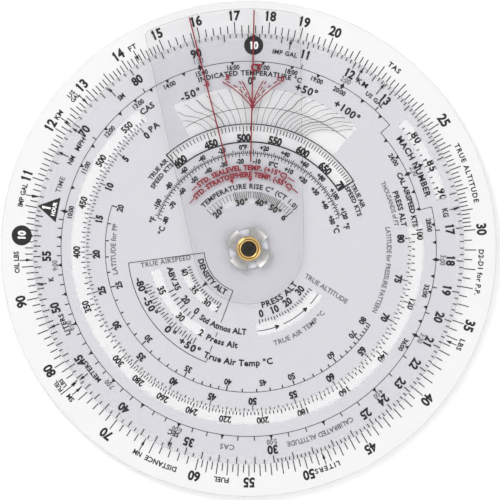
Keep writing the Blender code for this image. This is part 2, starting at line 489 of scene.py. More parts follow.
def worked_metal(name, colour, smooth, rough, marks, dull, bore=0.0):
    """A bright metal with fine drawn marks round the pivot and a little dulling.

    bore is the radius inside which the colour is painted a dark brown: painted shade down the deep hole.
    """
    finish, tree, place = new_finish(name)
    stretched = add_node(tree, "Mapping", {"Scale": (1.0, 1.0, 3.0)}, {"Vector": place})
    tone, patches = speckled(tree, place, colour, 700.0, dull)
    if bore:
        # Painted shade: inside the hole the colour drops to a dark brown, for the shade down the deep rivet
        # hole
        flat = add_node(tree, "VectorMath", {"operation": "MULTIPLY", 1: (1.0, 1.0, 0.0)}, {0: place})
        off_axis = add_node(tree, "VectorMath", {"operation": "LENGTH"}, {0: flat.outputs["Vector"]})
        outside_painted_shade = add_node(
            tree, "MapRange", {"From Min": bore, "From Max": bore * 1.08},
            {"Value": off_axis.outputs["Value"]},
        )
        painted_bore_shade = add_node(tree, "Mix", {"data_type": "RGBA"}, {0: outside_painted_shade.outputs["Result"], 7: tone})
        painted_bore_shade.inputs[6].default_value = rgba(shifted(colour, 0.12))
        tone = painted_bore_shade.outputs[2]
    # Tool marks about 0.1 mm apart
    lines = add_node(
        tree, "TexNoise", {"Scale": 4000.0, "Detail": 4.0, "Roughness": 0.6},
        {"Vector": stretched.outputs["Vector"]},
    )
    bump = add_node(tree, "Bump", {"Strength": marks, "Distance": 0.00002}, {"Height": lines.outputs["Fac"]})
    shader = add_node(
        tree,
        "BsdfPrincipled",
        {"Metallic": 1.0},
        {
            "Base Color": tone, "Roughness": ranged(tree, patches, smooth, rough),
            "Normal": bump.outputs["Normal"],
        },
    )
    return surfaced(finish, shader)


def finish_named(context, name):
    """The finish of that name, made once from the scene's colours."""
    made = bpy.data.materials.get(name)
    if made:
        return made
    colours = context.scene.flight_colours
    recipes = {
        "calendered_white_pvc": (calendered_pvc, colours.white),
        "polished_clear_pvc": (clear_pvc, (0.998, 0.998, 0.998), 0.06, 0.35, 1.34),
        "polished_cursor_pvc": (clear_pvc, (0.985, 0.985, 0.987), 0.05, 0.25, 1.42),
        "printed_grey_film": (grey_film, colours.grey),
        "frosted_drawing_pvc": (frosted_pvc, (0.86, 0.87, 0.88)),
        "black_screen_ink": (screen_ink, colours.black),
        "red_screen_ink": (screen_ink, colours.red),
        "grey_screen_ink": (screen_ink, colours.pale),
        "white_screen_ink": (screen_ink, linear("#f4f4f4")),
        "green_screen_ink": (screen_ink, linear("#2f6b4a")),
        "stamped_nylon": (moulded_nylon, linear("#d4d4d8")),
        # Bright brass rivet; inside its hole the colour is painted dark brown, as painted shade down the deep
        # hole
        "drawn_brass": (worked_metal, colours.brass, 0.12, 0.22, 0.10, 0.06, RIVET_BORE / 2 + 0.02 * MM),
        # Nickel plate over stamped strip
        "stamped_spring_steel": (worked_metal, colours.steel, 0.24, 0.38, 0.14, 0.05),
    }
    make, *values = recipes[name]
    return make(name, *values)


# ---------------------------------------------------------------- printing


class Print:
    """Marks of one ink on one face of a sheet, in millimetres, joined into one piece.

    Marks on the wind side are turned over, so that they read rightly from there. A second ink lies
    over the first.
    """

    def __init__(self, context, face, ink, second=False):
        self.body, self.slot, level, self.mirrored = FACES[face]
        thickness = context.scene.flight_prints.ink / MM
        low = level / MM - INK_SUNK_IN if face == "base" else level / MM + INK_OVERLAP - thickness
        high = low + thickness
        if second:
            low, high = high - INK_OVERLAP, high + SECOND_INK
        self.middle = (low + high) / 2
        self.depth = high - low
        self.ink = finish_named(context, ink + "_screen_ink")
        self.marks = []
        self.masters = {}
        self.words_to_place = []
        only()
        bpy.ops.object.text_add(location=(0, 0, 0))
        self.letters = bpy.context.object
        self.letters.data.size = 1.0
        self.letters.data.extrude = 0.5

    def master(self, sides):
        """A prism of unit radius and depth, made once."""
        if sides not in self.masters:
            only()
            bpy.ops.mesh.primitive_cylinder_add(vertices=sides, radius=1.0, depth=1.0)
            self.masters[sides] = bpy.context.object
        return self.masters[sides]

    def stamp(self, sides, place):
        """Prints one copy of a prism, placed by a matrix."""
        mark = self.master(sides).copy()
        mark.data = mark.data.copy()
        lifted = Matrix.Translation((0, 0, self.middle + self.layer())) @ place
        mark.data.transform(Matrix.Scale(MM, 4) @ lifted)
        bpy.context.collection.objects.link(mark)
        self.marks.append(mark)

    def layer(self):
        """A hair's difference in height, so that no two marks that cross share a face."""
        return (len(self.marks) + 7 * len(self.words_to_place)) % 13 * 0.0004

    def bar(self, start, end, width):
        """A straight bar between two flat points."""
        start, end = Vector(start), Vector(end)
        run = end - start
        centre = (start + end) / 2
        # A four-sided prism stands on its corners, so it is turned square first
        square = Matrix.Rotation(math.radians(45.0), 4, "Z")
        size = Matrix.Diagonal((run.length / math.sqrt(2), width / math.sqrt(2), self.depth, 1.0))
        turn = Matrix.Rotation(math.atan2(run.y, run.x), 4, "Z")
        self.stamp(4, Matrix.Translation((centre.x, centre.y, 0)) @ turn @ size @ square)

    def tick(self, clock, inner, outer, width):
        self.bar(polar(inner, clock), polar(outer, clock), width)

    def path(self, points, width):
        """A line through flat points, each stretch a little long so that they join."""
        for start, end in zip(points, points[1:]):
            start, end = Vector(start), Vector(end)
            over = (end - start).normalized() * width * 0.3
            self.bar(start - over, end + over, width)

    def arc(self, radius, first, last, width, step=2.5):
        count = max(1, math.ceil(abs(last - first) / step))
        self.path([polar(radius, first + (last - first) * i / count) for i in range(count + 1)], width)

    def wedge(self, clock, tip, base, half_width):
        """A triangle whose tip and base lie at two radii."""
        size = Matrix.Diagonal((half_width / math.sqrt(0.75), abs(tip - base) / 1.5, self.depth, 1.0))
        on_base = Matrix.Translation((0, abs(tip - base) / 3, 0))
        flip = Matrix.Rotation(0.0 if tip > base else math.pi, 4, "Z")
        turn = Matrix.Rotation(-math.radians(clock), 4, "Z")
        self.stamp(3, turn @ Matrix.Translation((0, base, 0)) @ flip @ on_base @ size)

    def dot(self, clock, radius, size, sides=48):
        centre = polar(radius, clock)
        turn = Matrix.Rotation(-math.radians(clock), 4, "Z")
        place = Matrix.Translation((centre.x, centre.y, 0)) @ turn
        self.stamp(sides, place @ Matrix.Diagonal((size, size, self.depth, 1.0)))

    def arrow(self, clock, tail, neck, tip, width):
        """A short stem with a slim head."""
        if abs(tail - neck) > 0.05:
            self.tick(clock, tail, neck, width)
        self.wedge(clock, tip, neck, 0.5)

    def letter_block(self, words, weight, fine):
        block = self.letters.copy()
        block.data = self.letters.data.copy()
        block.data.body = words
        block.data.offset = weight
        block.data.align_x = "CENTER"
        block.data.resolution_u = 3 if fine else 2
        bpy.context.collection.objects.link(block)
        return block

    def words(self, words, clock, radius, cap, weight=LABEL_WEIGHT, squeeze=0.88, inward=False, span=None):
        """Words along an arc. radius is at half their height, and inward puts their tops inwards.

        span is the whole angle that the words take up, where they are spaced out to fill it.
        """
        em = cap / CAP_SHARE
        sense = -1.0 if inward else 1.0

        def place(point):
            turn = clock + sense * math.degrees(point.x * em * squeeze / radius)
            x, y = polar(radius + sense * (point.y * em - cap / 2), turn)
            return (x, y, level + point.z * self.depth)

        level = self.middle + self.layer()
        width = math.radians(span) * radius / em / squeeze if span else None
        block = self.letter_block(words, weight, cap > 1.9)
        self.words_to_place.append((block, place, width))
        if words.isdigit():
            self.flags(words, place, em * squeeze)

    def ticks(self, clocks, inner, outer, width):
        """Like ticks at many clock angles."""
        for clock in clocks:
            self.tick(clock, inner, outer, width)

    def figures(self, pairs, radius, cap, weight=NUMERAL_WEIGHT, squeeze=0.88, inward=False):
        """Figures along one arc, from pairs of what to print and its clock angle."""
        for figure, clock in pairs:
            self.words(str(figure), clock, radius, cap, weight, squeeze, inward)

    def rows(self, rows, weight=LABEL_WEIGHT, inward=False):
        """Words from a table: the words, clock angle, span, radius and cap height of each."""
        for words, clock, span, radius, cap in rows:
            self.words(words, clock, radius, cap, weight=weight, inward=inward, span=span)

    def flags(self, words, place, em):
        """The slanted flag of each figure 1, which the plain lettering lacks."""
        for i, figure in enumerate(words):
            if figure == "1":
                middle = (i + 0.5 - len(words) / 2) * DIGIT_ADVANCE
                top = place(Vector((middle, 0.635, 0.0)))[:2]
                foot = place(Vector((middle - 0.15, 0.545, 0.0)))[:2]
                self.bar(top, foot, 0.11 * em)

    def straight_words(self, words, start, end, cap, weight=0.02):
        """Words along a straight line, spaced out between two flat points."""
        em = cap / CAP_SHARE
        start, end = Vector(start), Vector(end)
        along = (end - start).normalized()
        up = Vector((-along.y, along.x))
        centre = (start + end) / 2
        squeeze = 0.88

        def place(point):
            flat = centre + along * point.x * em * squeeze + up * (point.y * em - cap / 2)
            return (flat.x, flat.y, self.middle + point.z * self.depth)

        block = self.letter_block(words, weight, cap > 1.9)
        self.words_to_place.append((block, place, (end - start).length / em / squeeze))

    def place_words(self):
        """Turns every block of letters into a mesh and lays it in its place."""
        blocks = [block for block, _, _ in self.words_to_place]
        if not blocks:
            return
        bpy.context.view_layer.update()
        for block, _, width in self.words_to_place:
            if width:
                wider = width / block.dimensions.x
                block.data.space_character = wider / min(max(wider, 0.80), 1.12)
        only(*blocks)
        bpy.ops.object.convert(target="MESH")
        for block, place, width in self.words_to_place:
            if width:
                across = [vertex.co.x for vertex in block.data.vertices]
                fill = width / (max(across) - min(across))
                middle = (min(across) + max(across)) / 2
                block.data.transform(Matrix.Diagonal((fill, 1, 1, 1)) @ Matrix.Translation((-middle, 0, 0)))
            for vertex in block.data.vertices:
                vertex.co = MM * Vector(place(vertex.co))
            self.marks.append(block)

    def finish(self, name):
        """Joins the marks into one closed mesh and gives it its body and ink."""
        self.place_words()
        groups = [self.marks[i : i + 400] for i in range(0, len(self.marks), 400)]
        joined = []
        for group in groups:
            only(*group)
            bpy.ops.object.join()
            joined.append(bpy.context.view_layer.objects.active)
        only(*joined)
        if len(joined) > 1:
            bpy.ops.object.join()
        piece = bpy.context.view_layer.objects.active
        for spare in (self.letters, *self.masters.values()):
            bpy.data.objects.remove(spare, do_unlink=True)
        if self.mirrored:
            over = Matrix.Translation((0, 0, 2 * self.middle * MM)) @ Matrix.Rotation(math.pi, 4, "Y")
            piece.data.transform(over)
        close_up(piece)
        dress(renamed(piece, name), self.ink, self.body, self.slot)


def whole_steps(start, stop, step):
    """Values from start up to stop, without the drift of repeated sums."""
    count = round((stop - start) / step)
    return [start + step * i for i in range(count)]


def slide_values():
    """Each tick of one decade of a slide rule scale, with whether it is a long one."""
    for start, stop, step, every in ((10, 15, 0.1, 5), (15, 30, 0.2, 5), (30, 60, 0.5, 2), (60, 100, 1, 5)):
        for i, value in enumerate(whole_steps(start, stop, step)):
            yield value, i % every == 0


def slide_clock(value, index):
    return index + 360.0 * math.log10(value / 10.0)


def impact(mach):
    """Impact pressure over static pressure at a Mach number."""
    return (1.0 + 0.2 * mach**2) ** 3.5 - 1.0


def mach_clock(mach):
    return 56.0 + PRESSURE_SPREAD * math.log(impact(mach) / impact(0.8))


def airspeed_clock(knots):
    return 85.0 + PRESSURE_SPREAD * math.log(impact(knots / SOUND_SPEED) / impact(100 / SOUND_SPEED))


def pressure_ratio(thousand_feet):
    """Pressure of the standard atmosphere over that at sea level."""
    if thousand_feet <= 36.089:
        return (1.0 - 0.0068756 * thousand_feet) ** 5.2559
    above = 0.22336 * math.exp(-(min(thousand_feet, 65.617) - 36.089) / 20.806)
    if thousand_feet <= 65.617:
        return above
    return above * (1.0 + (thousand_feet - 65.617) / 710.8) ** -34.163


def altitude_clock(thousand_feet):
    return 318.0 + PRESSURE_SPREAD * math.log(pressure_ratio(thousand_feet))


def latitude_clock(degrees):
    return 119.8 - 360.0 * math.log10(math.sin(math.radians(degrees)))


def true_speed_clock(knots):
    steps = (knots - 400.0) / 50.0
    return 322.0 + 18.675 * steps - 0.475 * steps**2


def celsius_clock(degrees):
    return 16.2 + 1.092 * degrees


def time_value(minutes):
    """The slide rule value, from 10 to 100, whose digits a time in minutes has."""
    return minutes / 10.0 ** math.floor(math.log10(minutes)) * 10.0


# ---------------------------------------------------------------- operators


class SetStage(Operator):
    """Add the floor, the lights and the camera."""

    bl_idname = "flight_computer.set_stage"
    bl_label = "Stage"

    def studio_dome(self):
        """A soft white dome, open at the top and dimmer towards the horizon."""
        world = bpy.data.worlds.new("soft_studio")
        world.use_nodes = True
        tree = world.node_tree
        place = add_node(tree, "TexCoord").outputs["Generated"]
        height = add_node(tree, "SeparateXYZ", {}, {"Vector": place}).outputs["Z"]
        smooth = {"interpolation_type": "SMOOTHSTEP"}
        top = add_node(
            tree, "MapRange", {**smooth, "From Min": 0.86, "From Max": 0.965, "To Min": 1.0, "To Max": 0.14},
            {"Value": height},
        )
        rise = add_node(
            tree, "MapRange", {**smooth, "From Min": -0.1, "From Max": 0.50, "To Min": 0.30, "To Max": 1.0},
            {"Value": height},
        )
        level = add_node(
            tree, "Math", {"operation": "MULTIPLY"}, {0: top.outputs["Result"], 1: rise.outputs["Result"]},
        )
        strength = add_node(tree, "Math", {"operation": "MULTIPLY", 1: DOME_STRENGTH}, {0: level.outputs[0]})
        background = tree.nodes["Background"]
        background.inputs["Color"].default_value = (1.0, 1.0, 1.0, 1.0)
        tree.links.new(strength.outputs[0], background.inputs["Strength"])
        return world

    def execute(self, context):
        scene = context.scene
        scene.view_settings.view_transform = "Standard"
        scene.view_settings.look = "None"
        scene.cycles.transparent_max_bounces = 32

        only()
        bpy.ops.mesh.primitive_plane_add(size=STAGE_SIZE, location=(0, 0, 0))
        floor = renamed(context.object, "floor")
        floor.data.transform(Matrix.Translation((0, 0, EYELET_LOW.z - 0.02 * MM)))
        # Plain matt backing paper, with a faint fibre cloud
        paper, tree, place = new_finish("matt_white_paper")
        tone, _ = speckled(tree, place, linear("#fbfbfb"), 40.0, 0.004)
        shader = add_node(
            tree, "BsdfPrincipled", {"Roughness": 0.9, "Specular IOR Level": 0.1}, {"Base Color": tone}
        )
        floor.data.materials.append(surfaced(paper, shader))

        scene.world = self.studio_dome()
        for name, place, size, power in (
            ("key_light", (-0.55, 0.60, 0.80), 0.45, 3.4), ("fill_light", (0.75, -0.35, 0.60), 0.60, 1.2),
        ):
            lamp = bpy.data.lights.new(name, "AREA")
            lamp.size = size
            lamp.energy = power
            holder = bpy.data.objects.new(name, lamp)
            holder.location = place
            holder.rotation_euler = (-Vector(place)).to_track_quat("-Z", "Y").to_euler()
            scene.collection.objects.link(holder)

        camera = bpy.data.cameras.new("camera")
        camera.type = "PERSP"
        camera.lens = CAMERA_LENS
        camera.sensor_width = 36.0
        camera.clip_start = 0.05
        holder = bpy.data.objects.new("camera", camera)
        holder.location = CAMERA_PLACE
        scene.collection.objects.link(holder)
        scene.camera = holder
        return {"FINISHED"}


class MakeSheets(Operator):
    """Make the discs and their clear overlays, and finish the grey film."""

    bl_idname = "flight_computer.make_sheets"
    bl_label = "Sheets"

    def execute(self, context):
        edge = context.scene.flight_sheets.edge
        for name, node, body, finish, slot in (
            ("white_base", "base_disc", "base", "calendered_white_pvc", "white_pvc"),
            ("front_laminate", "base_front_overlay", "base", "polished_clear_pvc", "clear_pvc"),
            ("rear_laminate", "base_rear_overlay", "base", "polished_clear_pvc", "clear_pvc"),
            ("clear_front_disc", "front_disc", "front_disc", "polished_clear_pvc", "clear_pvc"),
            ("white_course_disc", "course_disc", "course_disc", "calendered_white_pvc", "white_pvc"),
            ("course_laminate", "course_disc_overlay", "course_disc", "polished_clear_pvc", "clear_pvc"),
            ("frosted_wind_disc", "wind_disc", "wind_disc", "frosted_drawing_pvc", "frosted_pvc"),
        ):
            disc = punched_disc(name, node, 0.04 * MM if body == "front_disc" else edge)
            dress(disc, finish_named(context, finish), body, slot, node)
        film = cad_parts["front_disc_backing"]
        film.material_slots[0].material = finish_named(context, "printed_grey_film")
        # The tint is a fine screen of dots, so light passes through it to the base both ways
        film.visible_shadow = False
        film.visible_diffuse = False
        return {"FINISHED"}


class MakeCursor(Operator):
    """Make the clear cursor with its round hub end and rounded corners."""

    bl_idname = "flight_computer.make_cursor"
    bl_label = "Cursor"

    def outline(self):
        """The cursor's edge while it points along +Y."""
        side = 90.0 + CURSOR_HALF_SPREAD
        inset_side = CURSOR_HUB_RADIUS - CURSOR_CORNER_RADIUS
        inset_reach = CURSOR_REACH - CURSOR_CORNER_RADIUS
        corner = side - math.degrees(math.acos(inset_side / inset_reach))

        def arc(radius, first, last, count, centre=(0.0, 0.0)):
            middle = Vector(centre)
            return [middle + polar(radius, first + (last - first) * i / count) for i in range(count + 1)]

        points = arc(CURSOR_REACH, -corner, corner, 16)
        points += arc(CURSOR_CORNER_RADIUS, corner, side, 10, polar(inset_reach, corner))[1:]
        points += arc(CURSOR_HUB_RADIUS, side, 360.0 - side, 72)
        last_corner = polar(inset_reach, -corner)
        points += arc(CURSOR_CORNER_RADIUS, 360.0 - side, 360.0 - corner, 10, last_corner)[:-1]
        return points

    def execute(self, context):
        points = self.outline()
        only()
        bpy.ops.mesh.primitive_circle_add(vertices=len(points), radius=CURSOR_REACH, location=(0, 0, 0))
        arm = context.object
        for vertex, point in zip(arm.data.vertices, points):
            vertex.co = (point.x, point.y, 0.0)
        bpy.ops.object.mode_set(mode="EDIT")
        bpy.ops.mesh.select_all(action="SELECT")
        bpy.ops.mesh.edge_face_add()
        thickness = CURSOR_HIGH.z - CURSOR_LOW.z
        bpy.ops.mesh.extrude_region_move(TRANSFORM_OT_translate={"value": (0, 0, thickness)})
        bpy.ops.object.mode_set(mode="OBJECT")
        close_up(arm)
        round_edges(arm, 0.22 * MM, 3)
        only()
        bpy.ops.mesh.primitive_cylinder_add(
            vertices=64, radius=HOLE_RADIUS, depth=4 * thickness, location=(0, 0, thickness / 2)
        )
        punch = context.object
        cut = arm.modifiers.new("hub_hole", "BOOLEAN")
        cut.object = punch
        only(arm)
        bpy.ops.object.modifier_apply(modifier=cut.name)
        bpy.data.objects.remove(punch, do_unlink=True)
        shade(arm)
        turn = Matrix.Rotation(-math.radians(CURSOR_CLOCK), 4, "Z")
        arm.data.transform(Matrix.Translation((0, 0, CURSOR_LOW.z)) @ turn)
        close_up(arm)
        renamed(arm, "clear_cursor")
        dress(arm, finish_named(context, "polished_cursor_pvc"), "cursor", "clear_pvc", "cursor")
        return {"FINISHED"}


class MakeHub(Operator):
    """Make the rolled rivet, the petal washer, the rear washer and the spacers."""

    bl_idname = "flight_computer.make_hub"
    bl_label = "Hub"

    def curl(self, height, radius, first, last, count=18):
        points = []
        for i in range(count + 1):
            turn = math.radians(first + (last - first) * i / count)
            points.append((CURL_MIDDLE + radius * math.cos(turn), height + radius * math.sin(turn)))
        return points

    def rivet(self):
        front = EYELET_HIGH.z - CURL_OUTSIDE
        rear = EYELET_LOW.z + CURL_OUTSIDE
        section = self.curl(front, CURL_OUTSIDE, 180.0, 0.0) + self.curl(front, CURL_INSIDE, 0.0, 180.0)
        section += self.curl(rear, CURL_INSIDE, -180.0, 0.0) + self.curl(rear, CURL_OUTSIDE, 0.0, -180.0)
        rivet = turned("rolled_rivet", section, 96)
        round_edges(rivet, 0.04 * MM)
        return rivet

    def along_petal(self, clock):
        """The angle from the middle of the nearest petal."""
        pitch = 360.0 / PETALS
        return (clock - PETAL_FIRST_CLOCK + pitch / 2) % pitch - pitch / 2

    def petal_share(self, clock):
        """1 inside a petal, 0 in the notch between two, with a short slope between them."""
        off_centre = abs(self.along_petal(clock))
        share = (PETAL_HALF_WIDTH + PETAL_SLOPE - off_centre) / PETAL_SLOPE
        return min(1.0, max(0.0, share))

    def petal_washer(self):
        """A strip bent round into a ring, whose petals reach out and turn up."""
        rows, sides = 12, 180
        only()
        bpy.ops.mesh.primitive_grid_add(
            x_subdivisions=rows, y_subdivisions=sides, size=2.0, location=(0, 0, 0)
        )
        washer = bpy.context.object
        for vertex in washer.data.vertices:
            out = (vertex.co.x + 1.0) / 2
            clock = 180.0 * (vertex.co.y + 1.0)
            reach = PETAL_ROOT_RADIUS + self.petal_share(clock) * (PETAL_TIP_RADIUS - PETAL_ROOT_RADIUS)
            radius = HOLE_RADIUS + (reach - HOLE_RADIUS) * out
            past_root = (radius - PETAL_ROOT_RADIUS) / (PETAL_TIP_RADIUS - PETAL_ROOT_RADIUS)
            x, y = polar(radius, clock)
            lift = PETAL_LIFT * (0.65 + 0.35 * self.along_petal(clock) / PETAL_HALF_WIDTH)
            vertex.co = (x, y, lift * max(0.0, past_root) ** 1.8)
        close_up(washer, 1e-6)
        wall = washer.modifiers.new("wall", "SOLIDIFY")
        wall.thickness = WASHER_THICKNESS
        wall.offset = -1.0
        bpy.ops.object.modifier_apply(modifier=wall.name)
        highest = max(vertex.co.z for vertex in washer.data.vertices)
        washer.data.transform(Matrix.Translation((0, 0, WASHER_HIGH.z - highest)))
        close_up(washer)
        round_edges(washer, 0.07 * MM)
        return renamed(washer, "petal_washer")

    def execute(self, context):
        brass = finish_named(context, "drawn_brass")
        steel = finish_named(context, "stamped_spring_steel")
        nylon = finish_named(context, "stamped_nylon")
        dress(self.rivet(), brass, "base", "brass", "eyelet")
        dress(self.petal_washer(), steel, "base", "spring_steel", "spring_washer")
        rear = punched_disc("flat_rear_washer", "rear_washer", 0.06 * MM, 120)
        dress(rear, steel, "base", "spring_steel", "rear_washer")
        for name, node in (
            ("nylon_wind_ring", "wind_disc_spacer"), ("nylon_course_ring", "course_disc_spacer"),
            ("nylon_front_ring", "front_disc_spacer"), ("nylon_cursor_ring", "cursor_spacer"),
        ):
            dress(punched_disc(name, node, 0.03 * MM, 96), nylon, "base", "nylon", node)
        return {"FINISHED"}


# Printed faces: body, slot, height, and whether they are read from the wind side
FACES = {
    "base": ("base", "white_pvc", BASE_HIGH.z, False),
    "front_disc": ("front_disc", "clear_pvc", FRONT_LOW.z, False),
    "cursor": ("cursor", "clear_pvc", CURSOR_LOW.z, False), "rear": ("base", "white_pvc", BASE_LOW.z, True),
    "course_disc": ("course_disc", "white_pvc", COURSE_LOW.z, True),
    "wind_disc": ("wind_disc", "frosted_pvc", WIND_LOW.z, True),
}
# How far ink bites into its sheet, laps into what it touches, and a second ink's thickness, in mm
INK_SUNK_IN, INK_OVERLAP, SECOND_INK = 0.005, 0.002, 0.015


class PrintOuterScale(Operator):
    """Print the base disc's fixed outer scale with its conversion arrows."""

    bl_idname = "flight_computer.print_outer_scale"
    bl_label = "Outer scale"

    def execute(self, context):
        sizes = context.scene.flight_prints
        line = sizes.tick / MM
        ink = Print(context, "base", "black")
        for value, is_long in slide_values():
            outer = 70.0 if is_long else 68.8
            ink.tick(slide_clock(value, OUTER_INDEX), 66.4, outer, line)
        shown = (*range(11, 21), 25, 30, 35, 40, 45, 50, 55, 60, 70, 80, 90)
        pairs = [(value, slide_clock(value, OUTER_INDEX)) for value in shown]
        ink.figures(pairs, 71.9, sizes.numeral / MM, squeeze=0.90)
        ink.dot(OUTER_INDEX, 69.95, 3.1)
        ink.wedge(OUTER_INDEX, 66.4, 68.6, 2.1)
        ink.rows((
            ("TAS", 38.8, 3.6, 71.55, 1.50), ("TRUE ALTITUDE", 70.8, 15.3, 71.55, 1.50),
            ("D2-D1 for P.P.", 95.8, 11.3, 71.55, 1.50), ("LBS", 114.4, 2.9, 71.55, 1.50),
            ("LITERS", 160.2, 6.5, 71.55, 1.50), ("FUEL", 186.8, 3.8, 71.55, 1.50),
            ("DISTANCE", 202.3, 8.3, 71.55, 1.50), ("NM", 208.6, 2.2, 71.55, 1.50),
            ("SM", 230.1, 1.9, 71.55, 1.50), ("FUEL", 234.2, 2.9, 72.30, 1.30),
            ("LBS", 234.2, 2.3, 70.60, 1.30), ("OIL LBS", 266.7, 5.4, 71.55, 1.50),
            ("IMP GAL", 283.4, 5.8, 71.55, 1.50), ("KM", 305.2, 2.4, 71.55, 1.50),
            ("US", 311.1, 2.0, 72.50, 1.35), ("GAL", 311.1, 2.7, 70.85, 1.35),
            ("FT", 330.0, 2.1, 71.55, 1.50),
        ))
        for clock in (114.9, 160.2, 208.5, 230.4, 232.2, 267.1, 283.7, 304.9, 312.1, 329.8):
            ink.arrow(clock, 70.5, 68.6, 66.8, line)
        ink.tick(232.2, 70.5, 73.2, line)
        ink.finish("outer_scale_print")

        white = Print(context, "base", "white", second=True)
        white.words("10", OUTER_INDEX, 69.95, 2.2, weight=NUMERAL_WEIGHT)
        white.finish("outer_index_print")
        return {"FINISHED"}


class PrintWindowScales(Operator):
    """Print the base disc's scales that show through the front disc's windows."""

    bl_idname = "flight_computer.print_window_scales"
    bl_label = "Scales under the windows"

    def mach(self, ink, tick):
        for hundredths in range(77, 98):
            is_five = hundredths % 5 == 0
            clock = mach_clock(hundredths / 100)
            if 50.0 <= clock <= 77.0:
                ink.tick(clock, (58.9 if is_five else 59.8), 60.7, tick)
        for hundredths in (80, 85, 90):
            clock = mach_clock(hundredths / 100)
            ink.words(f".{hundredths}", clock, 61.9, 2.15, weight=NUMERAL_WEIGHT, span=4.1)

    def airspeed(self, ink, tick):
        knots = 100
        while airspeed_clock(knots) < 321.0:
            clock = airspeed_clock(knots)
            ink.tick(clock, 50.2, (51.7 if knots % 10 == 0 else 51.2), tick)
            knots += 2 if knots < 300 else 5
        shown = (*range(100, 301, 20), *range(350, 551, 50))
        ink.figures([(knots, airspeed_clock(knots)) for knots in shown], 52.95, 1.94)

    def true_speed(self, ink, tick):
        for knots in range(395, 701, 5):
            inner = 35.5 if knots % 50 == 0 else 36.3
            ink.tick(true_speed_clock(knots), inner, 37.85, tick)
        pairs = [(knots, true_speed_clock(knots)) for knots in range(400, 701, 50)]
        ink.figures(pairs, 34.2, 2.15, weight=0.06)

    def altitude_boxes(self, ink, tick):
        ink.figures(((40, 250.5), (35, 233.0), (30, 218.0), (2, 207.0)), 21.05, 2.0, inward=True)
        ink.figures(((35, 244.5), (30, 225.0), (2, 209.5)), 29.65, 2.0, inward=True)
        ink.ticks((207.5 + 3.6 * i for i in range(14)), 30.8, 31.9, tick)
        radius = 25.45
        for first, last in ((174.0, 158.5), (155.0, 135.5)):
            ink.arc(radius, first, last + 1.5, 0.25)
            tip, back = polar(radius, last), 2.6
            for side in (-0.55, 0.0, 0.55):
                ink.bar(polar(radius + side, last + back), tip, 0.42)
        ink.arc(radius, 131.5, 122.0, 0.25)

    def execute(self, context):
        tick = context.scene.flight_prints.tick / MM
        ink = Print(context, "base", "black")
        self.mach(ink, tick)
        self.airspeed(ink, tick)
        self.true_speed(ink, 0.85 * tick)
        self.altitude_boxes(ink, tick)
        spiral = [polar((43.4 + 0.0446 * clock), clock) for clock in range(-32, 47, 2)]
        ink.path(spiral, 0.16)
        ink.finish("window_scale_print")
        return {"FINISHED"}


class PrintInnerScale(Operator):
    """Print the front disc's turning scale, with its arrows and the one-hour mark."""

    bl_idname = "flight_computer.print_inner_scale"
    bl_label = "Inner scale"

    def execute(self, context):
        tick = context.scene.flight_prints.tick / MM
        ink = Print(context, "front_disc", "black")
        for value, is_long in slide_values():
            inner = 64.0 if is_long else 65.0
            ink.tick(slide_clock(value, INNER_INDEX), inner, 66.2, tick)
        shown = (11, 12, 13, *range(17, 26), 30, 35, 40, 45, 50, 55, 70, 80, 90)
        ink.figures([(value, slide_clock(value, INNER_INDEX)) for value in shown], 62.2, 2.5, squeeze=0.90)
        ink.dot(INNER_INDEX, 62.6, 2.95)
        ink.wedge(INNER_INDEX, 66.2, 64.4, 1.7)
        hour = slide_clock(60, INNER_INDEX)
        ink.wedge(hour, 66.2, 59.8, 3.9)
        ink.rows((
            ("IMP GAL", 10.5, 7.2, 61.2, 1.30), ("KM", 34.4, 3.5, 61.8, 1.50),
            ("US GAL", 40.2, 6.5, 60.1, 1.30), ("KG", 79.6, None, 61.5, 1.60),
            ("SEC", 202.2, 3.3, 61.3, 1.45), ("METERS", 232.0, 7.2, 61.3, 1.45),
            ("LITERS", 247.7, 6.4, 61.3, 1.45), ("K", 261.2, None, 61.5, 1.50),
            ("NM", 296.6, 2.6, 61.0, 1.45), ("MPH", 301.9, 4.1, 61.0, 1.45), ("SM", 320.0, 2.1, 61.0, 1.50),
        ))
        for clock, tail in (
            (11.5, 62.4), (32.4, 61.6), (39.5, 61.6), (79.0, 63.0), (202.2, 62.6), (232.2, 62.6),
            (248.4, 62.6), (260.3, 63.0), (297.0, 62.2), (304.4, 61.2), (318.9, 62.2),
        ):
            ink.arrow(clock, tail, 64.2, 65.9, tick)
        ink.arc(61.2, 303.5, 304.4, 0.16)
        ink.finish("inner_scale_print")

        white = Print(context, "front_disc", "white", second=True)
        white.words("10", INNER_INDEX, 62.6, 2.15, weight=NUMERAL_WEIGHT)
        white.words("1", hour, 63.5, 2.4, weight=NUMERAL_WEIGHT)
        white.words("HOUR", hour, 61.1, 1.15)
        white.finish("inner_index_print")
        return {"FINISHED"}


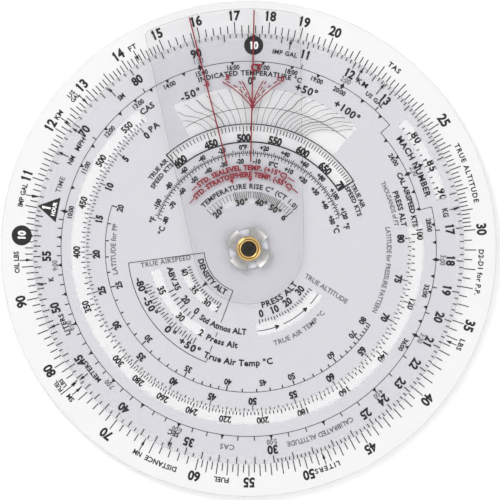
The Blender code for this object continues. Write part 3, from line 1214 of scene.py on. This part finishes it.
class PrintTimeRing(Operator):
    """Print the front disc's ring of hours inside its turning scale."""

    bl_idname = "flight_computer.print_time_ring"
    bl_label = "Time ring"

    def line_radius(self, clock):
        return 54.05 if 48.7 < clock % 360.0 < 77.1 else 57.7

    def clock_at(self, minutes):
        return slide_clock(time_value(minutes), INNER_INDEX)

    def execute(self, context):
        tick = context.scene.flight_prints.tick / MM
        ink = Print(context, "front_disc", "black")
        line = 0.17
        ink.arc(57.7, 77.1, 408.7, line)
        ink.arc(54.05, 48.7, 77.1, line)
        ink.ticks((48.7, 77.1), 54.0, 57.7, line)

        def wedges(shown, *reaches):
            for clock in map(self.clock_at, shown):
                for reach in reaches:
                    ink.wedge(clock, self.line_radius(clock) + reach, self.line_radius(clock), 0.62)

        wedges(range(210, 600, 30), 1.2)
        for clock in map(self.clock_at, (*range(180, 601, 10), 70, 80, 110, 130, 170)):
            ink.tick(clock, self.line_radius(clock), self.line_radius(clock) + 1.35, tick)
        wedges((*range(600, 901, 30), *range(960, 2161, 60)), -1.2)
        wedges((600, 900, 120, 150, 180, 210), 1.2, -1.2)
        for hours in list(range(10, 21)) + [24, 28, 32, 36]:
            clock = self.clock_at(hours * 60)
            radius = self.line_radius(clock) - 1.75
            ink.words(f"{hours}:00", clock, radius, 1.45)
        ink.finish("time_ring_print")

        pale = Print(context, "front_disc", "grey")
        for minutes in (*range(90, 240, 30), *range(240, 600, 60)):
            clock = self.clock_at(minutes)
            words, radius = f"{minutes // 60}:{minutes % 60:02}", self.line_radius(clock) + 2.1
            pale.words(words, clock, radius, 1.60, weight=THIN_WEIGHT, squeeze=0.82)
        pale.rows((
            ("CALIBRATED ALTITUDE", 158.7, 20.4, 61.25, 1.55), ("CAS", 186.2, 4.2, 61.25, 1.55),
            ("TIME", 288.8, 4.7, 61.25, 1.55),
        ), weight=THIN_WEIGHT)
        pale.finish("time_label_print")
        return {"FINISHED"}


class PrintInstrumentScales(Operator):
    """Print the front disc's altitude, latitude and temperature scales."""

    bl_idname = "flight_computer.print_instrument_scales"
    bl_label = "Instrument scales"

    def pressure_altitude(self, ink, tick):
        for halves in range(161):
            height = halves / 2
            inner = 48.1 if height % 5 == 0 else 48.9 if height % 1 == 0 else 49.3
            ink.tick(altitude_clock(height), inner, 50.0, tick)
        pairs = [(height, altitude_clock(height)) for height in range(0, 81, 5)]
        ink.figures(pairs, 46.9, 1.97, weight=0.055)

    def latitude(self, ink, tick):
        last, first = latitude_clock(20), latitude_clock(80)
        ink.arc(44.1, first, last, 0.17)
        for degrees in list(range(20, 40, 1)) + list(range(40, 81, 2)):
            inner = 42.4 if degrees % 5 == 0 else 43.1
            ink.tick(latitude_clock(degrees), inner, 44.1, tick)
        shown = (*range(80, 50, -10), *range(50, 19, -5))
        ink.figures([(degrees, latitude_clock(degrees)) for degrees in shown], 41.4, 1.75)

    def degree_scales(self, ink, tick):
        ink.arc(29.45, 288.7, 430.8, 0.17)
        for degrees in range(-80, 51, 2):
            inner = 28.2 if degrees % 10 == 0 else 28.6
            ink.tick(celsius_clock(degrees), inner, 29.45, 0.8 * tick)
        for degrees in range(-80, 51, 10):
            words = "0°C" if degrees == 0 else f"{degrees:+d}"
            ink.words(words, celsius_clock(degrees), 27.05, 1.4, weight=0.055)
        for fahrenheit in range(-110, 121, 2):
            outer = 30.6 if fahrenheit % 10 == 0 else 30.1
            clock = celsius_clock((fahrenheit - 32) / 1.8)
            ink.tick(clock, 29.45, outer, 0.8 * tick)
        for fahrenheit in range(-100, 121, 20):
            words = "0°F" if fahrenheit == 0 else f"{fahrenheit:+d}"
            ink.words(words, celsius_clock((fahrenheit - 32) / 1.8), 31.3, 1.4, weight=0.055)
        for words, clock, radius in (
            ("°F", 286.7, 30.8), ("°F", 76.9, 30.8), ("°C", 282.0, 27.4), ("°C", 77.3, 27.6),
        ):
            ink.words(words, clock, radius, 1.75)

    def temperature_rise(self, ink, tick):
        """A scale whose degrees close up as they rise, then open in steps of two."""
        ink.words("TEMPERATURE RISE C° (CT 1.0)", 0.95, 19.3, 1.50, span=97.5)
        inner, outer = 15.6, 17.7
        for first, step, count in ((-47.0, 3.9, 9), (-14.0, 2.3, 8), (5.0, 1.9, 16), (37.0, 3.1, 5)):
            ink.ticks((first + step * i for i in range(count)), inner, outer, 0.6 * tick)
        ink.ticks((-13.8, 12.5, 33.2, 49.4), inner - 0.3, outer + 0.2, 0.8 * tick)
        for words, clock, span in (
            ("20°", -39.4, 15.0), ("30°", -8.5, 15.0), ("40°", 14.8, 15.0), ("50°", 33.6, 15.0),
            ("6", 48.6, 6.0),
        ):
            ink.words(words, clock, 14.55, 1.85, weight=NUMERAL_WEIGHT, span=span)

    def speed_box(self, ink):
        first, last = 318.8 - 360.0, 57.1
        for radius, width in ((32.9, 0.42), (38.4, 0.34)):
            ink.arc(radius, first, last, width)
        ink.ticks((first, last), 32.75, 38.5, 0.42)

    def labels(self, ink):
        ink.rows((
            ("MACH NUMBER", 63.6, 20.5, 57.5, 1.80), ("CAL AIRSPEED KTS", 72.8, 19.4, 51.7, 1.55),
            ("PRESS ALT", 75.2, 13.3, 48.3, 1.60), ("CAS", 324.1, 5.2, 53.3, 1.75),
            ("PA", 322.2, 4.3, 47.5, 1.80), ("INDICATED TEMPERATURE °C", 0.45, 34.1, 54.15, 1.50),
            ("-50°", 339.3, 7.2, 50.8, 2.15), ("0°", 1.1, None, 51.7, 2.15),
            ("+50°", 20.0, 7.8, 51.9, 2.25), ("+100°", 35.4, 9.8, 52.2, 2.25),
            ("TRUE AIR", 311.4, 12.4, 37.2, 1.35), ("SPEED KTS", 310.1, 15.9, 35.1, 1.35),
            ("TRUE AIR", 64.2, 12.3, 37.5, 1.35), ("SPEED KTS", 65.6, 15.8, 35.6, 1.35),
        ))

    def pale_labels(self, pale):
        pale.rows((
            ("THOUSANDS of FT", 72.3, 17.7, 46.0, 1.40),
            ("LATITUDE for PRESSURE PATTERN", 99.0, 35.7, 43.2, 1.45),
            ("LATITUDE for PP", 269.9, 21.5, 41.7, 1.50),
        ), weight=THIN_WEIGHT)
        pale.words("TRUE AIR TEMP °C", 147.6, 30.0, 1.50, weight=THIN_WEIGHT, inward=True, span=35.0)
        pale.straight_words("TRUE ALTITUDE", (17.4, -8.1), (30.3, -16.3), 1.50, weight=THIN_WEIGHT)

    def execute(self, context):
        tick = context.scene.flight_prints.tick / MM
        ink = Print(context, "front_disc", "black")
        self.pressure_altitude(ink, 0.85 * tick)
        self.latitude(ink, 1.15 * tick)
        self.degree_scales(ink, tick)
        self.temperature_rise(ink, tick)
        self.speed_box(ink)
        self.labels(ink)
        ink.wedge(MACH_POINTER_CLOCK, 59.8, 58.2, 0.75)
        ink.finish("instrument_scale_print")
        pale = Print(context, "front_disc", "grey")
        self.pale_labels(pale)
        pale.finish("instrument_label_print")
        return {"FINISHED"}


class PrintAltitudeBoxes(Operator):
    """Print the front disc's density altitude and true altitude boxes."""

    bl_idname = "flight_computer.print_altitude_boxes"
    bl_label = "Altitude boxes"

    def outline(self, ink):
        line = 0.20
        ink.arc(37.2, 200.6, 263.3, line)
        ink.arc(13.7, 201.0, 265.0, line)
        ink.bar(polar(13.7, 265.0), polar(37.2, 263.3), line)
        for inner, outer in ((35.7, 36.9), (31.7, 33.8), (27.4, 28.9), (13.7, 24.3)):
            ink.tick(200.6, inner, outer, line)

    def density_altitude(self, ink, tick):
        ink.wedge(231.0, 18.6, 16.6, 0.62)
        ink.ticks((207.0 + 2.7 * i for i in range(18)), 18.6, 19.8, tick)
        ink.ticks((219.5 + 3.14 * i for i in range(8)), 26.15, 28.1, tick)
        for i in range(24):
            clock = 210.5 + 1.74 * i
            ink.tick(clock, (31.7 if i % 2 == 0 else 32.4), 33.8, 0.85 * tick)
        ink.rows((
            ("DENSITY ALT", 232.5, 51.0, 15.1, 1.70), ("ABV.35", 248.5, 17.5, 24.9, 1.75),
            ("Std Atmos ALT", 198.5, 34.0, 25.5, 1.75), ("Press Alt", 196.0, 19.0, 29.85, 1.75),
            ("True Air Temp °C", 185.5, 35.0, 35.1, 1.85),
        ), inward=True)
        ink.rows((
            ("20", 231.0, None, 24.9, 1.95), ("0", 220.0, None, 24.9, 1.95),
            ("-80°", 250.8, 9.0, 35.0, 2.10), ("-50°", 239.9, 10.2, 35.0, 2.10),
            ("0°", 223.6, 5.9, 35.0, 2.10), ("+50°", 211.3, 11.8, 35.0, 2.10),
        ), weight=NUMERAL_WEIGHT, inward=True)

    def true_altitude(self, ink, tick):
        ink.words("PRESS ALT", 146.4, 17.7, 1.75, inward=True, span=41.5)
        ink.figures(((0, 169.1), (10, 157.1), (20, 144.1), (30, 129.2)), 20.2, 2.1, inward=True)
        for i in range(21):
            ink.tick(123.5 + 2.4 * i, 22.0, 23.4 if i % 5 == 0 else 22.9, 0.85 * tick)

    def execute(self, context):
        tick = context.scene.flight_prints.tick / MM
        ink = Print(context, "front_disc", "black")
        self.outline(ink)
        self.density_altitude(ink, tick)
        self.true_altitude(ink, tick)
        ink.finish("altitude_box_print")
        pale = Print(context, "front_disc", "grey")
        pale.straight_words("TRUE AIRSPEED", (-33.2, -5.1), (-17.8, -2.5), 1.45, weight=THIN_WEIGHT)
        pale.finish("altitude_label_print")
        return {"FINISHED"}


class PrintTemperatureCurves(Operator):
    """Print the fan of temperature curves over its clear window."""

    bl_idname = "flight_computer.print_temperature_curves"
    bl_label = "Temperature curves"

    # How far along its swing a curve has come at each radius
    SWING = ((38.4, 0.0), (40.9, 0.1), (43.2, 0.3), (45.4, 0.6), (48.0, 0.75), (50.1, 1.0))

    def swing(self, radius):
        for (low, before), (high, after) in zip(self.SWING, self.SWING[1:]):
            if radius <= high:
                share = (radius - low) / (high - low)
                return before + (after - before) * share
        return 1.0

    def clock_at(self, degrees, radius):
        foot = 1.3 + 0.233 * degrees - 0.0003 * degrees**2
        spread = 0.19 * degrees - 0.0004 * degrees**2
        return foot + spread * self.swing(radius)

    def execute(self, context):
        ink = Print(context, "front_disc", "black")
        for degrees in range(-80, 131, 10):
            points = []
            for i in range(24):
                radius = 38.4 + i * 0.5
                clock = self.clock_at(degrees, radius)
                top = 48.2 + 1.8 * min(1.0, (clock + 27.6) / 26.0)
                if -27.6 <= clock <= 41.4 and radius <= top:
                    points.append(polar(radius, clock))
            heavy = degrees % 50 == 0
            ink.path(points, (0.22 if heavy else 0.13))
        ink.finish("temperature_curve_print")
        return {"FINISHED"}


class PrintCursor(Operator):
    """Print the cursor's red hairlines, recovery curves and temperature arcs."""

    bl_idname = "flight_computer.print_cursor"
    bl_label = "Cursor print"

    def recovery_curve(self, ink, points, dashed):
        """A curve through a few (clock, radius) points, bending smoothly between them."""
        fine = []
        for i in range(25):
            t = i / 24 * (len(points) - 1)
            k = min(int(t), len(points) - 2)
            u = t - k
            u = u * u * (3 - 2 * u) * 0.35 + u * 0.65
            clock = points[k][0] + (points[k + 1][0] - points[k][0]) * u
            radius = points[k][1] + (points[k + 1][1] - points[k][1]) * u
            fine.append(polar(radius, clock))
        if dashed:
            for i in range(0, 24, 4):
                ink.path(fine[i : i + 3], 0.34)
        else:
            ink.path(fine, 0.34)

    def execute(self, context):
        hairline = context.scene.flight_prints.hairline / MM
        ink = Print(context, "cursor", "red")
        for clock in (HAIRLINE_CLOCK, LEFT_HAIRLINE_CLOCK):
            ink.tick(clock, 26.8, 73.4, hairline)
        ink.words("CT", 2.4, 55.8, 2.0, weight=0.06)
        meet = (1.5, 43.0)
        for dashed, shape in (
            (False, ((-8.9, 51.9), (-5.6, 49.6), (-2.6, 47.2), (0.4, 44.4), meet)),
            (True, ((-7.5, 52.0), (-4.2, 49.8), (-1.4, 47.4), (1.1, 44.8), meet)),
            (True, ((-3.2, 51.5), (-1.0, 48.0), (0.8, 45.2), meet)),
            (False, ((-2.2, 51.5), (-0.2, 48.0), (1.1, 45.2), meet)),
            (False, ((4.9, 51.7), (2.9, 48.0), (1.8, 45.2), meet)),
            (True, ((5.9, 51.7), (3.7, 48.0), (2.2, 45.2), meet)),
            (True, ((9.4, 52.1), (6.8, 50.0), (4.1, 47.4), (1.9, 44.8), meet)),
            (False, ((10.8, 52.0), (8.2, 49.8), (5.4, 47.2), (2.6, 44.4), meet)),
        ):
            self.recovery_curve(ink, shape, dashed)
        ink.wedge(1.5, 42.3, 44.4, 0.75)
        for words, clock, radius in (("1.0", 10.5, 53.2), (".8", -7.2, 53.2), ("-8", -14.4, 52.3)):
            ink.words(words, clock, radius, 1.60, weight=0.05)
        ink.words("STD. SEALEVEL TEMP. (+15°C)", -5.5, 25.0, 1.50, weight=0.052, span=67.0)
        ink.words("STD. STRATOSPHERE TEMP. (-55°C)", -5.75, 22.85, 1.50, weight=0.052, span=82.5)
        for radius, spans in (
            (25.0, ((-44.0, -40.0), (29.0, 34.0))), (22.85, ((-52.4, -47.5), (36.0, 41.0))),
        ):
            for first, last in spans:
                ink.arc(radius, first, last, 0.34)
        for clock in (-13.9, 1.3):
            ink.wedge(clock, 20.5, 21.9, 0.7)
        ink.finish("cursor_print")
        return {"FINISHED"}


class PrintWindSide(Operator):
    """Print the wind side: the rear scale, the compass rose and the wind disc's grid."""

    bl_idname = "flight_computer.print_wind_side"
    bl_label = "Wind side"

    def rear_scale(self, context):
        line = context.scene.flight_prints.tick / MM
        ink = Print(context, "rear", "black")
        for value, is_long in slide_values():
            outer = 70.0 if is_long else 68.8
            ink.tick(slide_clock(value, 0.0), 66.8, outer, line)
        shown = (*range(10, 21), 25, 30, 35, 40, 45, 50, 55, 60, 70, 80, 90)
        ink.figures([(value, slide_clock(value, 0.0)) for value in shown], 71.9, 2.5, squeeze=0.90)
        ink.finish("rear_scale_print")

    def compass_rose(self, context):
        line = context.scene.flight_prints.tick / MM
        ink = Print(context, "course_disc", "black")
        for degree in range(360):
            inner = 62.6 if degree % 10 == 0 else 63.8 if degree % 5 == 0 else 64.6
            ink.tick(degree, inner, 66.0, line)
        for degree in range(0, 360, 10):
            words = {0: "N", 90: "E", 180: "S", 270: "W"}.get(degree, str(degree))
            cap = 3.0 if degree % 90 == 0 else 2.0
            ink.words(words, degree, 60.4, cap, weight=NUMERAL_WEIGHT)
        ink.arc(58.2, 0.0, 360.0, 0.2)
        ink.finish("compass_rose_print")

        green = Print(context, "course_disc", "green")
        for i in range(1, 11):
            green.arc(5.0 * i + 3.0, 0.0, 360.0, (0.22 if i % 2 == 0 else 0.12), step=4.0)
        for degree in range(0, 360, 10):
            green.tick(degree, (8.0 if degree % 30 == 0 else 18.0), 53.0, 0.13)
        green.finish("wind_circle_print")

    def wind_pointer(self, context):
        ink = Print(context, "wind_disc", "black")
        ink.arc(54.0, 0.0, 360.0, 0.3)
        ink.tick(0.0, 8.0, 51.5, 0.3)
        ink.ticks((180.0, 90.0, 270.0), 8.0, 51.5, 0.2)
        ink.wedge(0.0, 54.0, 50.6, 1.7)
        for i in range(1, 11):
            radius = 5.0 * i + 3.0
            for clock in (0.0, 90.0, 180.0, 270.0):
                end = polar(radius, clock)
                across = polar(0.6, clock + 90.0)
                ink.bar(end - across, end + across, 0.2)
        for i in range(2, 11, 2):
            radius = 5.0 * i + 3.0
            for clock in (0.0, 90.0, 180.0, 270.0):
                shift = math.degrees(2.4 / radius)
                ink.words(str(i * 10), clock + shift, radius, 1.5)
        ink.rows((
            ("HEADWIND", -8.0, None, 47.0, 1.6), ("TAILWIND", 172.0, None, 47.0, 1.6),
            ("CROSSWIND", 81.0, None, 47.0, 1.6), ("CROSSWIND", 261.0, None, 47.0, 1.6),
            ("TRUE COURSE", 14.0, None, 51.6, 1.8),
        ))
        ink.finish("wind_grid_print")

    def execute(self, context):
        self.rear_scale(context)
        self.compass_rose(context)
        self.wind_pointer(context)
        return {"FINISHED"}


OPERATORS = (
    SetStage, MakeSheets, MakeCursor, MakeHub, PrintOuterScale, PrintWindowScales, PrintInnerScale,
    PrintTimeRing, PrintInstrumentScales, PrintAltitudeBoxes, PrintTemperatureCurves, PrintCursor,
    PrintWindSide,
)


class FlightComputerPanel(Panel):
    """Sidebar panel with the sizes, the colours and one button for each group of pieces."""

    bl_idname = "VIEW3D_PT_flight_computer"
    bl_label = "Flight computer"
    bl_space_type = "VIEW_3D"
    bl_region_type = "UI"
    bl_category = "Flight computer"

    def draw(self, context):
        layout = self.layout
        for group in (context.scene.flight_sheets, context.scene.flight_prints, context.scene.flight_colours):
            box = layout.box()
            for key in group.bl_rna.properties.keys():
                if key not in ("rna_type", "name"):
                    box.prop(group, key)
        column = layout.column(align=True)
        for operator in OPERATORS:
            column.operator(operator.bl_idname)


CLASSES = (SheetSizes, PrintSizes, Colours, *OPERATORS, FlightComputerPanel)


def register():
    for cls in CLASSES:
        bpy.utils.register_class(cls)
    bpy.types.Scene.flight_sheets = PointerProperty(type=SheetSizes)
    bpy.types.Scene.flight_prints = PointerProperty(type=PrintSizes)
    bpy.types.Scene.flight_colours = PointerProperty(type=Colours)


def unregister():
    del bpy.types.Scene.flight_colours
    del bpy.types.Scene.flight_prints
    del bpy.types.Scene.flight_sheets
    for cls in reversed(CLASSES):
        bpy.utils.unregister_class(cls)


def main():
    register()
    for operator in OPERATORS:
        getattr(bpy.ops.flight_computer, operator.bl_idname.partition(".")[2])()


if __name__ == "__main__":
    main()
